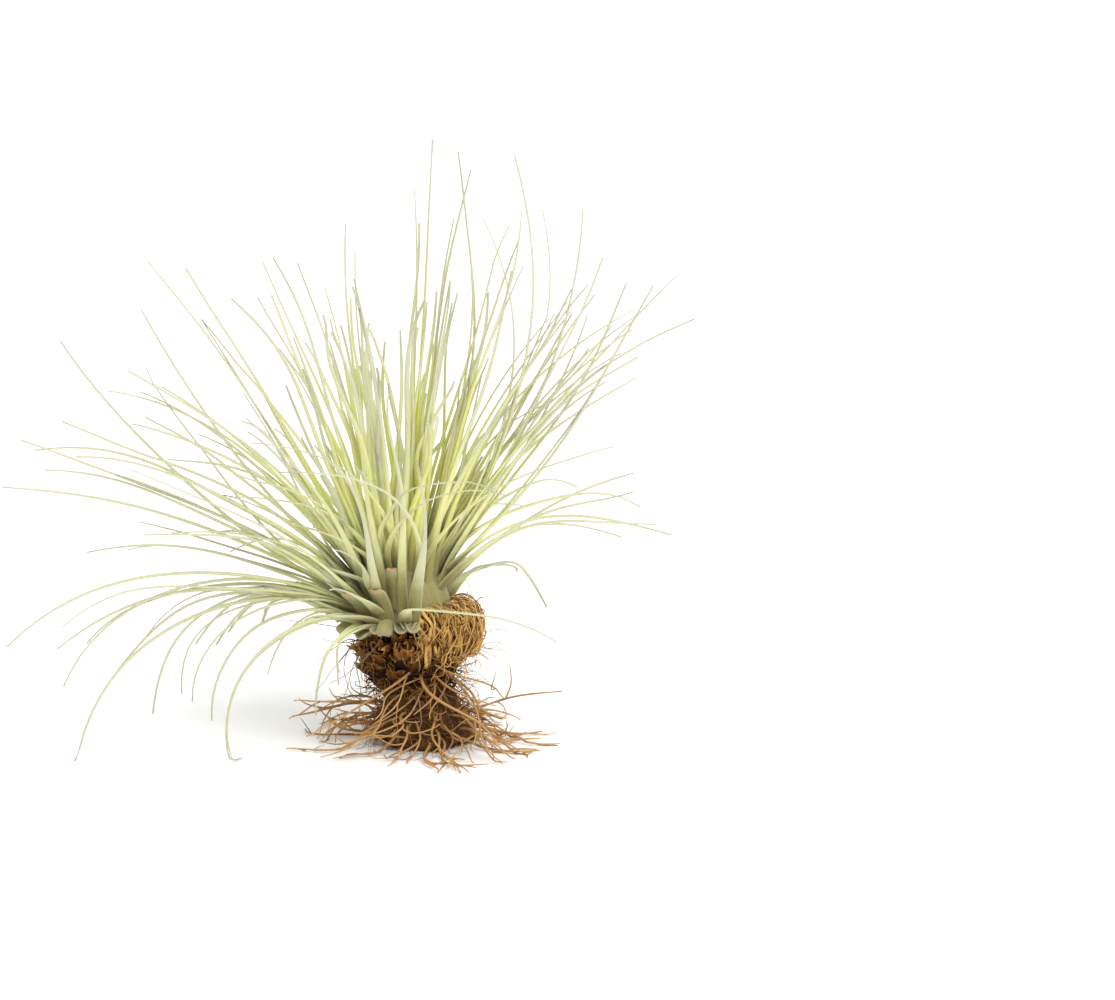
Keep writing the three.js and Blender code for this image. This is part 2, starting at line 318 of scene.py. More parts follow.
def stem_line():
    """The stem's direction."""
    stem = settings("stem")
    return unit(np.array([-math.tan(stem.lean_left), math.tan(stem.lean_back), 1.0]))


def leaning(stem, way):
    """How many degrees the stem leans towards a way."""
    lean_way = math.degrees(math.atan2(stem[1], stem[0]))
    return math.degrees(math.acos(stem[2])) * towards(way, lean_way)


def outwards(way, stem):
    flat = direction(way, 0.0)
    return unit(flat - stem * flat.dot(stem))


def on_stem(stem, height, way, out):
    """A point at a height up the stem and that far out from its middle line."""
    return stem * height + outwards(way, stem) * out


def curve(root, way, start, end, length, turn=0, hug=0, wriggle=0, phase=0, rest=LEAF_REST):
    """Points along a curved line and the side it is broad to, at even shares of its length."""
    share = (np.arange(CURVE_STEPS) + 0.5) / CURVE_STEPS
    rise = lerp(start, end, share**1.2) + hug * (1 - smooth(share * length, 0, 16))
    heading = way + turn * share + wriggle * np.sin(phase + 7 * share)
    points = [np.array(root, float)]
    for step in direction(heading, rise) * length / CURVE_STEPS:
        point = points[-1] + step
        point[2] = max(point[2], rest)
        points.append(point)
    sides = direction(np.concatenate([[way], heading]) + 90, 0.0)
    return np.array(points), sides


# Tools for making pieces


def clear_selection():
    if bpy.context.object and bpy.context.object.mode != "OBJECT":
        bpy.ops.object.mode_set(mode="OBJECT")
    bpy.ops.object.select_all(action="DESELECT")


def active(thing):
    clear_selection()
    thing.select_set(True)
    bpy.context.view_layer.objects.active = thing
    return thing


def apply_modifiers(thing):
    active(thing)
    for modifier in list(thing.modifiers):
        bpy.ops.object.modifier_apply(modifier=modifier.name)


def vertices(blank):
    places = np.empty(len(blank.data.vertices) * 3)
    blank.data.vertices.foreach_get("co", places)
    return places.reshape(-1, 3)


def strip_blank(across, along):
    """A strip to copy: 2 across from -1 to 1, 1 along from 0 to 1, with a wall of 1 below it."""
    clear_selection()
    bpy.ops.mesh.primitive_grid_add(x_subdivisions=across, y_subdivisions=along, size=2)
    blank = active(bpy.context.object)
    bpy.ops.object.mode_set(mode="EDIT")
    bpy.ops.mesh.select_all(action="SELECT")
    bpy.ops.transform.translate(value=(0, 1, 0))
    bpy.ops.transform.resize(value=(1, 0.5, 1), center_override=(0, 0, 0))
    bpy.ops.object.mode_set(mode="OBJECT")
    wall = blank.modifiers.new("Wall", "SOLIDIFY")
    wall.thickness = 1
    wall.offset = -1
    apply_modifiers(blank)
    return blank, vertices(blank)


def strand_blank(sides, along):
    """A strand to copy: a closed prism of radius 1 from 0 to 1 along Z, cut into short lengths."""
    clear_selection()
    bpy.ops.mesh.primitive_cylinder_add(vertices=sides, radius=1, depth=1, location=(0, 0, 0.5))
    blank = active(bpy.context.object)
    bpy.ops.object.transform_apply(location=True, rotation=False, scale=False)
    bpy.ops.object.mode_set(mode="EDIT")
    bpy.ops.mesh.select_mode(type="EDGE")
    bpy.ops.mesh.select_all(action="DESELECT")
    shape = bmesh.from_edit_mesh(blank.data)
    for edge in shape.edges:
        ends = [vertex.co.z for vertex in edge.verts]
        edge.select_set(abs(ends[0] - ends[1]) > 0.5)
    bmesh.update_edit_mesh(blank.data)
    bpy.ops.mesh.subdivide(number_cuts=along - 1)
    bpy.ops.object.mode_set(mode="OBJECT")
    return blank, vertices(blank)


def ball_blank(segments, rings):
    """A ball of radius 1 to copy."""
    clear_selection()
    bpy.ops.mesh.primitive_uv_sphere_add(segments=segments, ring_count=rings, radius=1)
    blank = active(bpy.context.object)
    return blank, vertices(blank)


def copies(name, blank, shapes):
    """The blank's mesh copied for each shape and joined into one piece. A shape is its vertices in
    millimetres and its marks, each one number or one for each vertex."""
    if not shapes:
        raise RuntimeError(f"{name}: no copies to make")
    twins = []
    for points, marks in shapes:
        mesh = blank.data.copy()
        mesh.vertices.foreach_set("co", (points * MM).ravel())
        for label, value in marks.items():
            values = np.broadcast_to(np.asarray(value, float), (len(points),))
            mesh.attributes.new(label, "FLOAT", "POINT").data.foreach_set("value", values)
        twin = bpy.data.objects.new(name, mesh)
        bpy.context.collection.objects.link(twin)
        twins.append(twin)
    bpy.data.objects.remove(blank)
    clear_selection()
    for twin in twins:
        twin.select_set(True)
    bpy.context.view_layer.objects.active = twins[0]
    bpy.ops.object.join()
    joined = active(bpy.context.object)
    joined.name = joined.data.name = name
    bpy.ops.object.mode_set(mode="EDIT")
    bpy.ops.mesh.select_all(action="SELECT")
    bpy.ops.mesh.normals_make_consistent(inside=False)
    bpy.ops.object.mode_set(mode="OBJECT")
    bpy.ops.object.shade_smooth()
    return joined


def resampled(shares, rows):
    """Rows of points or directions, read off at some shares of their whole."""
    even = np.linspace(0, 1, len(rows))
    return np.stack([np.interp(shares, even, rows[:, axis]) for axis in range(3)], -1)


def strip_shape(blank, line, half_width, arc, wall, lift=0.0, spread=1.0, crinkle=None):
    """The blank's vertices bent on to a line as a channel. Width, arc and wall are functions of the share,
    and crinkle gives the height of its creases from the place across and the share."""
    across, share = blank[:, 0], np.clip(blank[:, 1], 0, 1) ** spread
    outer = blank[:, 2] < -0.5
    points, sides = line
    place, side = resampled(share, points), resampled(share, sides)
    along = unit(resampled(share, unit(np.gradient(points, axis=0))))
    side = unit(side - along * np.sum(side * along, -1, keepdims=True))
    half, bend, thick = half_width(share), np.radians(arc(share)) / 2, wall(share)
    radius = half / np.sin(np.clip(bend, 0.05, math.pi / 2 + 0.7))
    around = across * bend
    sideways = radius * np.sin(around)
    up = radius * (np.cos(bend) - np.cos(around)) + lift * half
    thick = np.where(outer, thick * (1 - 0.55 * np.abs(across) ** 3), 0)
    sideways = sideways + thick * np.sin(around)
    up = up - thick * np.cos(around)
    if crinkle:
        up = up + crinkle(across, share)
    return place - side * sideways[:, None] + np.cross(along, side) * up[:, None]


def strand_shape(blank, path, radius):
    """The strand blank's vertices set along a path of points, with a radius for each share."""
    rings, which = np.unique(np.round(blank[:, 2], 5), return_inverse=True)
    places = resampled(rings, path)
    along = unit(np.gradient(places, axis=0))
    over = np.empty_like(along)
    seed = np.array([0.31, 0.21, 0.93]) if abs(along[0][2]) < 0.8 else np.array([0.93, 0.21, 0.31])
    for ring, ahead in enumerate(along):
        seed = unit(seed - ahead * seed.dot(ahead))
        over[ring] = seed
    size = np.asarray(radius(rings))[:, None]
    ring_over, ring_beside = over * size, np.cross(along, over) * size
    return places[which] + ring_over[which] * blank[:, :1] + ring_beside[which] * blank[:, 1:2]


def round_shape(ball, stem, bottom, top, radius):
    """The ball's vertices as a round body up the stem, with a radius for each share of its height."""
    share = (ball[:, 2] + 1) / 2
    around = unit(ball * np.array([1, 1, 0]))
    out = outwards(0.0, stem) * around[:, :1] + outwards(90.0, stem) * around[:, 1:2]
    return stem * lerp(bottom, top, share)[:, None] + out * radius(share)[:, None]


def roughen(piece, name, size, strength):
    """Lumps on a body that strands and scales hide in part."""
    grain = bpy.data.textures.new(name, "CLOUDS")
    grain.noise_scale = size
    rough = piece.modifiers.new("Matting", "DISPLACE")
    rough.texture = grain
    rough.texture_coords = "LOCAL"
    rough.strength = strength
    rough.mid_level = 0.6
    apply_modifiers(piece)


def dress(piece, material, slot, *nodes):
    """Gives a piece its finish, hangs it on the rigid body and hides the part's nodes that it stands for."""
    piece.data.materials.clear()
    piece.data.materials.append(material)
    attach(piece, RIDES_ON)
    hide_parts(*nodes)


def strand_piece(name, sides, along, strands, *looks):
    """Strands joined into one piece. Each is its path, its radius for each share and its pick."""
    blank, grid = strand_blank(sides, along)
    shapes = [
        (strand_shape(grid, path, radius), {"pick": pick, "run": grid[:, 2]})
        for path, radius, pick in strands
    ]
    dress(copies(name, blank, shapes), *looks)


def tapered(width, tip=0.35):
    """A strand's radius for each share, from its base to a part of it at the tip."""
    return lambda share: width / 2 * lerp(1, tip, share**1.4)


def fibre_path(start, heading, draw, length, curl, steps=24, pull=0):
    """A curly fibre: its heading wanders, and it is drawn towards a pull direction."""
    ahead = unit(np.array(heading, float))
    spin = unit(draw.anywhere())
    points = [np.array(start, float)]
    for _ in range(steps):
        ahead = unit(ahead + np.cross(spin, ahead) * curl * 0.5 + draw.anywhere() * curl * 0.7 + pull)
        point = points[-1] + ahead * length / steps
        point[2] = max(point[2], 0.3)
        points.append(point)
    return np.array(points)


# Finishes


def feed(tree, socket, value):
    """Links a node's input to another node's output, or sets its value."""
    if isinstance(value, Shade):
        tree.links.new(value.socket, socket)
    else:
        socket.default_value = value


class Shade:
    """A socket of a material's nodes. Arithmetic on it adds Math nodes."""

    def __init__(self, tree, socket=None):
        self.tree = tree
        self.socket = socket

    def node(self, kind, settings=None, inputs=None, output=0):
        made = self.tree.nodes.new(kind)
        for name, value in (settings or {}).items():
            setattr(made, name, value)
        for name, value in (inputs or {}).items():
            feed(self.tree, made.inputs[name], value)
        return Shade(self.tree, made.outputs[output])

    def math(self, operation, *values):
        return self.node("ShaderNodeMath", {"operation": operation}, dict(enumerate(values)))

    def __add__(self, other):
        return self.math("ADD", self, other)

    def __mul__(self, other):
        return self.math("MULTIPLY", self, other)

    def __sub__(self, other):
        return self.math("SUBTRACT", self, other)

    __radd__ = __add__

    def __rsub__(self, other):
        return self.math("SUBTRACT", other, self)

    def step(self, low, high):
        """This value's smooth step from 0 to 1, between low and high."""
        inputs = {"Value": self, "From Min": low, "From Max": high}
        return self.node("ShaderNodeMapRange", {"interpolation_type": "SMOOTHSTEP"}, inputs)

    def axis(self, which):
        return self.node("ShaderNodeSeparateXYZ", {}, {0: self}, which)

    def stretched(self, scale):
        return self.node("ShaderNodeVectorMath", {"operation": "MULTIPLY"}, {0: self, 1: scale})

    def noise(self, scale, detail, roughness, output=0):
        """Noise at this place."""
        inputs = {"Vector": self, "Scale": scale, "Detail": detail, "Roughness": roughness}
        return self.node("ShaderNodeTexNoise", {}, inputs, output)

    def bump(self, strength, distance):
        """A normal from this height."""
        return self.node("ShaderNodeBump", {}, {"Strength": strength, "Distance": distance, "Height": self})

    def place(self):
        return self.node("ShaderNodeTexCoord", output="Object")

    def marks(self, *names):
        """Attributes of the mesh."""
        return [self.node("ShaderNodeAttribute", {"attribute_name": name}, output="Fac") for name in names]

    def strip(self):
        """A strip's own coordinates: the whole, how near an edge from 0 to 1, and the share of its length."""
        uv = self.node("ShaderNodeUVMap", {"uv_map": "UVMap"})
        across = uv.axis(0) * 2 - 1
        return uv, across.math("ABSOLUTE", across), uv.axis(1)

    def mix(self, first, second, share):
        """One colour turned into another by a share."""
        first, second = [one if isinstance(one, Shade) else (*one, 1.0) for one in (first, second)]
        return self.node("ShaderNodeMix", {"data_type": "RGBA"}, {0: share, 6: first, 7: second}, output=2)


def finish(name, build):
    """A material whose build function gets its nodes and gives its shader's inputs."""
    material = bpy.data.materials.new(name)
    material.use_nodes = True
    tree = material.node_tree
    shader = next(node for node in tree.nodes if node.type == "BSDF_PRINCIPLED")
    for socket, value in build(Shade(tree)).items():
        feed(tree, shader.inputs[socket], value)
    return material


def leaf_finish():
    """Silvery scurf on green: olive at the clasping sheath, yellow on young blades, dry at the tips. Along
    the blades the edges carry painted shade, darkened towards olive.
    """
    leaf = settings("leaf")

    def build(nodes):
        place = nodes.place()
        uv, edge, share = nodes.strip()
        age, pick, worn, run, dried = nodes.marks("age", "pick", "worn", "run", "dry")
        patch = place.noise(260, 4, 0.6)
        ribs = uv.stretched((26, 3, 1)).noise(1.0, 2, 0.5)
        scurf = place.noise(2600, 2, 0.5)
        blade = nodes.mix(leaf.young, leaf.blade, age.step(0.0, 0.55))
        blade = nodes.mix(blade, leaf.margin, pick * 0.25)
        outer = share * 0.5 + run * 0.14 + age * 0.26 + (pick - 0.5) * 0.2
        blade = nodes.mix(blade, leaf.thread, outer.step(0.38, 0.82) * 0.9)
        sheath = nodes.mix(leaf.young, leaf.sheath, age.step(0.0, 0.4) * 0.45 + 0.55)
        base = nodes.mix(sheath, blade, (run + (patch - 0.5) * 0.3).step(0.2, 0.85))
        # The sheaths' edges are really pale. Along the blades the edges get painted shade instead: olive
        # darkening where a channel's sides fall into shade.
        rim = nodes.mix(leaf.margin, leaf.edge, run.step(0.6, 1.2))
        pale_margin_and_edge_shade = edge.step(0.7, 0.98) * (0.2 + run.step(0.5, 1.2) * (0.25 + age * 0.3))
        base = nodes.mix(base, rim, pale_margin_and_edge_shade)
        base = nodes.mix(base, leaf.margin, ribs.step(0.5, 0.8) * 0.13)
        base = nodes.mix(base, leaf.scurf, scurf.step(0.5, 0.72) * 0.11)
        dry = share.step(0.84, 1.0) * (1 - worn) * (0.2 + pick * 0.7)
        base = nodes.mix(base, leaf.tip, dry.math("MAXIMUM", dry, dried * share.step(0.3, 0.8)))
        base = nodes.mix(base, leaf.cut, (share + (patch - 0.5) * 0.1).step(0.92, 0.98) * worn * 0.75)
        return {
            "Base Color": base,
            "Roughness": 0.62 - scurf * 0.12 + edge * 0.05,
            "Normal": (ribs * 0.5 + scurf * 0.5).bump(0.35, 0.0002),
            "Subsurface Weight": 0.5,
            "Subsurface Radius": (0.9, 1.0, 0.4),
            "Subsurface Scale": 0.0015,
            "Sheen Weight": 0.25,
            "Sheen Roughness": 0.5,
            "Sheen Tint": (*leaf.sheen, 1.0),
            "Specular IOR Level": 0.35,
        }

    return finish("scurfy_leaf", build)


def sheath_finish():
    """Ribbed papery brown: dark at the base and low down, amber and then straw towards the edges."""
    dry = settings("collar")

    def build(nodes):
        place = nodes.place()
        uv, edge, share = nodes.strip()
        [pick] = nodes.marks("pick")
        ribs = uv.stretched((22, 2.0, 1)).noise(1.0, 3, 0.6)
        patch = place.noise(340, 4, 0.6)
        aged = share + patch * 0.8 - 0.4
        base = nodes.mix(dry.dark, dry.brown, aged.step(0.1, 0.8))
        base = nodes.mix(base, dry.amber, pick * aged.step(0.2, 0.9))
        pale = (share * 0.8 + edge * 0.3 + (patch - 0.5) * 0.5).step(0.84, 1.14)
        base = nodes.mix(base, dry.straw, pale)
        base = nodes.mix(base, dry.dark, ribs.step(0.45, 0.62) * 0.7)
        base = nodes.mix(dry.dark, base, place.axis(2).step(0.014, 0.032) * 0.7 + 0.3)
        return {
            "Base Color": base,
            "Roughness": 0.55 + patch * 0.3,
            "Normal": (ribs + patch * 0.6).bump(0.7, 0.0004),
            "Subsurface Weight": 0.1,
            "Subsurface Radius": (1.0, 0.6, 0.3),
            "Subsurface Scale": 0.0008,
            "Specular IOR Level": 0.12,
        }

    return finish("papery_sheath", build)


def fibre_finish(name, dark, pale, tip, split):
    """A fibre's colour from its own draw, darker where it starts and paler to its end."""

    def build(nodes):
        place = nodes.place()
        pick, run = nodes.marks("pick", "run")
        blotch, fine = place.noise(420, 3, 0.6), place.noise(2400, 2, 0.6)
        base = nodes.mix(dark, pale, (pick + (blotch - 0.5) * 0.7).step(split, split + 0.4))
        base = nodes.mix(base, tip, (run * (0.4 + pick * 0.6)).step(0.25, 1.0) * 0.6)
        return {
            "Base Color": base,
            "Roughness": 0.58 + fine * 0.25,
            "Normal": (fine + blotch).bump(0.6, 0.0002),
            "Specular IOR Level": 0.12,
        }

    return finish(name, build)


def mat_finish(name, dark, pale):
    """Matted fibre: short streaks that run every way."""

    def build(nodes):
        place = nodes.place()
        warp = place.noise(180, 2, 0.5, "Color")
        bent = {0: warp, 1: (0.012, 0.012, 0.012), 2: place}
        bent = nodes.node("ShaderNodeVectorMath", {"operation": "MULTIPLY_ADD"}, bent)
        thread, clump = bent.stretched((1.0, 1.0, 0.25)).noise(1500, 2, 0.6), place.noise(240, 3, 0.6)
        return {
            "Base Color": nodes.mix(dark, pale, (thread * 0.7 + clump * 0.5).step(0.52, 0.78)),
            "Roughness": 0.85,
            "Normal": (thread + clump).bump(1.0, 0.0008),
            "Specular IOR Level": 0.2,
        }

    return finish(name, build)


# Leaves

# How tan the end of each kind of leaf is.
WORN_EDGE = {"blade": 0, "worn": 1, "skirt": 0.25, "curled": 0.5}


@dataclass
class Leaf:
    """A leaf's line, in the order of LONG_LEAVES, and its looks. All kinds but a blade are worn short."""

    way: float
    turn: float
    start: float
    end: float
    length: float
    age: float
    wriggle: float = 0
    phase: float = 0
    kind: str = "blade"
    slim: float = 1
    dry: float = 0


def leaf_plan(stem):
    """Every living leaf by the part's own rule: the long ones, the spiral and the worn skirt."""
    leaf = settings("leaf")
    draw = Draw(leaf.seed)
    plan = []
    for way, turn, start, end, length, *own_age in LONG_LEAVES:
        age = own_age[0] if own_age else min(0.98, max(0.02, 1.12 - start / 74))
        plan.append(Leaf(way, turn, start, end, length, age, draw.between(-5, 5), draw.between(0, 6)))
    for i in range(leaf.rule_leaves):
        age = 1 - (i + 0.5) / leaf.rule_leaves
        way = math.fmod(i * GOLDEN_ANGLE + draw.between(-14, 14), 360)
        lean_part = leaning(stem, way) * lerp(0.35, 1, age)
        start = lerp(16, 86, (1 - age) ** 0.8) + draw.between(-7, 7) - lean_part
        sag = (22 + 60 * age) * math.cos(math.radians(min(start, 84))) + draw.between(-24, 16)
        length = lerp(122, 104, abs(age - 0.45) * 2) * draw.between(0.74, 1.08)
        turn = draw.between(-30, 30) * lerp(0.5, 1, age)
        wriggle, phase = draw.between(-9, 9), draw.between(0, 6)
        short = draw.between(lerp(0.6, 0.3, smooth(0.6 - age, 0, 0.3)), 1)
        front = max(0, towards(way, VIEWER_WAY)) * smooth(age, 0.3, 0.6)
        start = min(STEEPEST, start + 34 * front)
        if age > 0.6 and near_bundle(way, 8):
            continue
        if age > 0.72 and front > 0.36 and i % 3 == 0:
            stub = length * lerp(0.28, 0.12, age)
            plan.append(Leaf(way, 0, start + 4, start - 26, stub, age, kind="worn"))
        else:
            end = start - sag * (1 - 0.75 * front)
            plan.append(Leaf(way, turn, start, end, length * short, age, wriggle, phase))
    for i in range(leaf.skirt_leaves):
        way = i * GOLDEN_ANGLE + draw.between(-8, 8)
        start = draw.between(-14, 2) - leaning(stem, way)
        end = start - draw.between(20, 60)
        length = draw.between(5, 8.5)
        if not near_bundle(way, 10):
            plan.append(Leaf(way, 0, start, end, length, 0.98, kind="skirt"))
    return plan


def leaf_line(leaf, stem):
    height = lerp(CROWN_TOP - 5, CROWN_FOOT + 4, leaf.age)
    root = on_stem(stem, height, leaf.way, NODE_RADIUS * lerp(0.25, 1, leaf.age**0.7))
    hug = 18 * leaf.age
    return curve(
        root, leaf.way, leaf.start, leaf.end, leaf.length, leaf.turn, hug, leaf.wriggle, leaf.phase
    )


def wavered(line, draw, amount):
    """A line with slow sideways waves that grow to its end."""
    points, sides = line
    share = np.linspace(0, 1, len(points))[:, None]
    phase, beats = draw.between(0, 6), draw.between(3, 6)
    wave = np.sin(phase + beats * share * 1.7) - math.sin(phase)
    lift = np.sin(phase * 2 + beats * 1.3 * share) - math.sin(phase * 2)
    moved = points + (sides * wave + np.array([0, 0, 1.0]) * lift) * amount * share**1.5
    moved[:, 2] = np.maximum(moved[:, 2], 0.5)
    return moved, sides


def slimness(leaf):
    """A leaf's width as a share of the rule's: old blades at the front and young ones are narrower."""
    if abs(leaf.turn) > 60:
        return 0.62
    if leaf.kind == "blade" and leaf.age > 0.5:
        return lerp(1, 0.66, smooth(towards(leaf.way, VIEWER_WAY), 0.3, 0.8))
    return 0.82 if leaf.age < 0.4 else 1


def leaf_lines(stem, draw):
    """Each leaf and its line: those of the plan first, then those that only show here."""
    leaf = settings("leaf")
    plan = leaf_plan(stem)
    lines = []

    def add(one, waves):
        line = leaf_line(one, stem)
        lines.append((one, wavered(line, draw, waves) if waves else line))

    for one in plan:
        one.slim = slimness(one)
        add(one, 2.2 if one.kind == "blade" else 0)
    for i in range(leaf.fine_leaves):
        near = plan[i % len(LONG_LEAVES)]
        fine = replace(
            near, way=near.way + draw.between(-9, 9), start=min(STEEPEST, near.start + draw.between(-6, 6)),
            end=near.end + draw.between(-14, 14), length=near.length * draw.between(0.6, 0.96),
            dry=0.3 * (i % 3 == 0), slim=0.6,
        )
        add(fine, 2.0)
    for i in range(leaf.curled_sheaths):
        way = -105 + 45 * i + draw.between(-6, 6)
        if near_bundle(way, 0):
            continue
        curled = Leaf(
            way, turn=draw.between(-20, 20), start=draw.between(-6, 16), end=-draw.between(40, 80),
            length=draw.between(6.5, 8.5), age=0.97, kind="curled", slim=0.74,
        )
        points, sides = leaf_line(curled, stem)
        lines.append((curled, (points, -sides)))
    for i in range(leaf.crown_leaves):
        age = lerp(0.5, 0.97, (i + 0.5) / leaf.crown_leaves)
        way = -148 + 30 * math.sin(i * 2.4) + draw.between(-5, 5)
        start = lerp(66, 12, (age - 0.5) / 0.47) + draw.between(-6, 6)
        crown = Leaf(
            way, turn=draw.between(-50, -10), start=start, end=start - draw.between(0, 50),
            length=draw.between(17, 34), age=age, wriggle=draw.between(-8, 8), phase=draw.between(0, 6),
            dry=0.3, slim=0.86,
        )
        add(crown, 1.2)
    for i in range(leaf.crossing_leaves):
        side = 1 if i % 2 else -1
        crossing = Leaf(
            way=VIEWER_WAY + draw.between(-30, 30), turn=side * draw.between(70, 130),
            start=draw.between(48, 70), end=draw.between(-24, 10), length=draw.between(56, 84), age=0.4,
            wriggle=draw.between(-8, 8), phase=draw.between(0, 6), dry=0.3, slim=0.55,
        )
        add(crossing, 1.2)
    return lines


def gather(lines, draw):
    """Draws leaves towards the long leaf that points most nearly their way, as loose bunches."""
    held = [points for _, (points, _) in lines[: len(LONG_LEAVES)]]
    aims = np.array([unit(points[50] - points[0]) for points in held])
    even = np.linspace(0, 1, len(held[0]))
    for leaf, (points, _) in lines[len(LONG_LEAVES) :]:
        if leaf.kind != "blade":
            continue
        pull = draw.between(0, 0.8)
        guide = held[int(np.argmax(aims @ unit(points[50] - points[0])))]
        reach, other = [np.linalg.norm(np.diff(line, axis=0), axis=1).sum() for line in (points, guide)]
        bunch = resampled(np.clip(even * reach / other, 0, 1), guide) - points
        ahead = unit(np.gradient(points, axis=0))
        bunch -= ahead * np.sum(bunch * ahead, -1, keepdims=True)
        bunch *= np.minimum(1, 9 / np.maximum(np.linalg.norm(bunch, axis=1, keepdims=True), 1e-9))
        points += bunch * (pull * smooth(even, 0.15, 0.9))[:, None]


def leaf_shape(blank, leaf, line, draw):
    """A leaf: a broad clasping sheath that narrows and rolls up into a long tapering blade."""
    sizes = settings("leaf")
    age, worn, curled = leaf.age, leaf.kind != "blade", leaf.kind == "curled"
    blade_width, tip_width = sizes.blade_width / MM, sizes.tip_width / MM
    sheath_length = sizes.sheath_length / MM
    sheath_length *= lerp(1.1, 0.72, smooth(age, 0.3, 0.9) * (1 - smooth(leaf.start, 30, 60)))
    plump = draw.between(0.9, 1.08)
    steep = smooth(leaf.start, 48, 68)
    slow = 0.0 if worn else steep
    high = sheath_length * (2.6 if worn else lerp(1.15, 2.5, steep))
    spread = 1.0 if worn else 1.35

    def half_width(share):
        run = share * leaf.length
        taper = lerp(1 - smooth(run, 0.2 * high, high), np.clip(1 - run / high, 0, 1), 0.5 + slow * 0.5)
        sheath = sizes.sheath_width / MM * lerp(0.36, lerp(1, 0.72, steep), age**1.2) * taper
        blade = blade_width if worn else lerp(blade_width * lerp(0.8, 1, age), tip_width, share)
        width = np.maximum(sheath, blade * plump) * leaf.slim
        if not worn:
            width = width * lerp(1, 0.75, smooth(share, 0.85, 1))
        if leaf.kind == "skirt":
            width = width * lerp(0.85, 0.5, share)
        if worn:
            width = width * np.sqrt(1 - 0.8 * np.clip((share - 0.82) / 0.18, 0, 1) ** 2.5)
        return width * 0.49

    def arc(share):
        if curled:
            return lerp(110, 220, share)
        return lerp(96, 165, smooth(share * leaf.length, 6, sheath_length + 8))

    def wall(share):
        thick = lerp(0.5 if curled else 1.0, 0.4, smooth(share * leaf.length, 2, sheath_length))
        return thick if worn else thick * lerp(1, 0.4, share)

    shape = strip_shape(blank, line, half_width, arc, wall, lift=0.12, spread=spread)
    return shape, {
        "age": age * lerp(1, 0.6, smooth(leaf.start, 45, 75)),
        "pick": draw.between(0, 1),
        "worn": WORN_EDGE[leaf.kind],
        "run": np.clip(blank[:, 1], 0, 1) ** spread * leaf.length / sheath_length,
        "dry": leaf.dry,
    }


def crown_heart(stem, material):
    """The green stem that the leaves grow from."""
    blank, ball = ball_blank(40, 20)

    def radius(share):
        dome = np.sqrt(np.clip(1 - np.clip(share, 0, 1) ** 2.2, 0, 1))
        return 14.5 * dome * np.clip(share / 0.06, 0, 1) ** 0.5

    shape = round_shape(ball, stem, CROWN_FOOT, CROWN_TOP - 1, radius)
    marks = {"age": 0.8, "pick": 0.1, "worn": 0.0, "run": 0.1, "dry": 0.0}
    dress(copies("crown_heart", blank, [(shape, marks)]), material, "living_leaf", "leaf_rosette")


class AIRPLANT_OT_leaves(Operator):
    """Model every living leaf on its own line and join them as the rosette"""

    bl_idname = "air_plant.leaves"
    bl_label = "Leaves"
    bl_options = {"REGISTER", "UNDO"}

    def execute(self, context):
        stem = stem_line()
        draw = Draw(settings("leaf").seed + 7)
        blank, grid = strip_blank(4, 26)
        lines = leaf_lines(stem, draw)
        gather(lines, draw)
        shapes = [leaf_shape(grid, leaf, line, draw) for leaf, line in lines]
        material = leaf_finish()
        dress(copies("living_leaves", blank, shapes), material, "living_leaf", "leaf_rosette")
        crown_heart(stem, material)
        return {"FINISHED"}


# Dry collar


def old_stem(dry, stem):
    """The matted stem that the dry sheaths stand on."""
    blank, ball = ball_blank(64, 32)

    def radius(share):
        profile = np.interp(share, [0, 0.05, 0.4, 0.8, 0.95, 1], [0, 10.5, 12.6, 13.6, 13.4, 0])
        return profile * (dry.radius / MM) / 16.5

    shape = round_shape(ball, stem, COLLAR_FOOT - 1.5, COLLAR_TOP + 0.5, radius)
    piece = copies("old_stem", blank, [(shape, {"pick": 0.3, "run": 0.2})])
    roughen(piece, "old_stem_grain", 0.0035, 0.003)
    dress(piece, mat_finish("old_stem_mat", dry.dark, dry.brown), "dry_sheath", "dry_collar")


def scale(grid, line, width, thick, arc, pick, phase):
    """A curled papery scale with a torn end and creases that grow towards it."""
    torn = grid.copy()
    teeth = np.sin(5.3 * grid[:, 0] + phase) + np.sin(13.7 * grid[:, 0] + 2 * phase)
    torn[:, 1] *= 1 - 0.2 * (1 + 0.5 * teeth) * grid[:, 1] ** 2

    def crinkle(across, share):
        long, short = 5.5 * across + 6 * share + phase, 9 * share - 4 * across + 2 * phase
        return share * (0.5 * np.sin(long) + 0.3 * np.sin(short))

    shape = strip_shape(
        torn, line,
        lambda share: width * 0.5 * np.interp(share, [0, 0.3, 0.7, 0.93, 1], [0.9, 1, 0.85, 0.6, 0.4]),
        lambda share: lerp(arc, arc * 1.5, share), lambda share: lerp(thick, 0.12, share), crinkle=crinkle,
    )
    return shape, {"pick": pick, "run": grid[:, 1]}


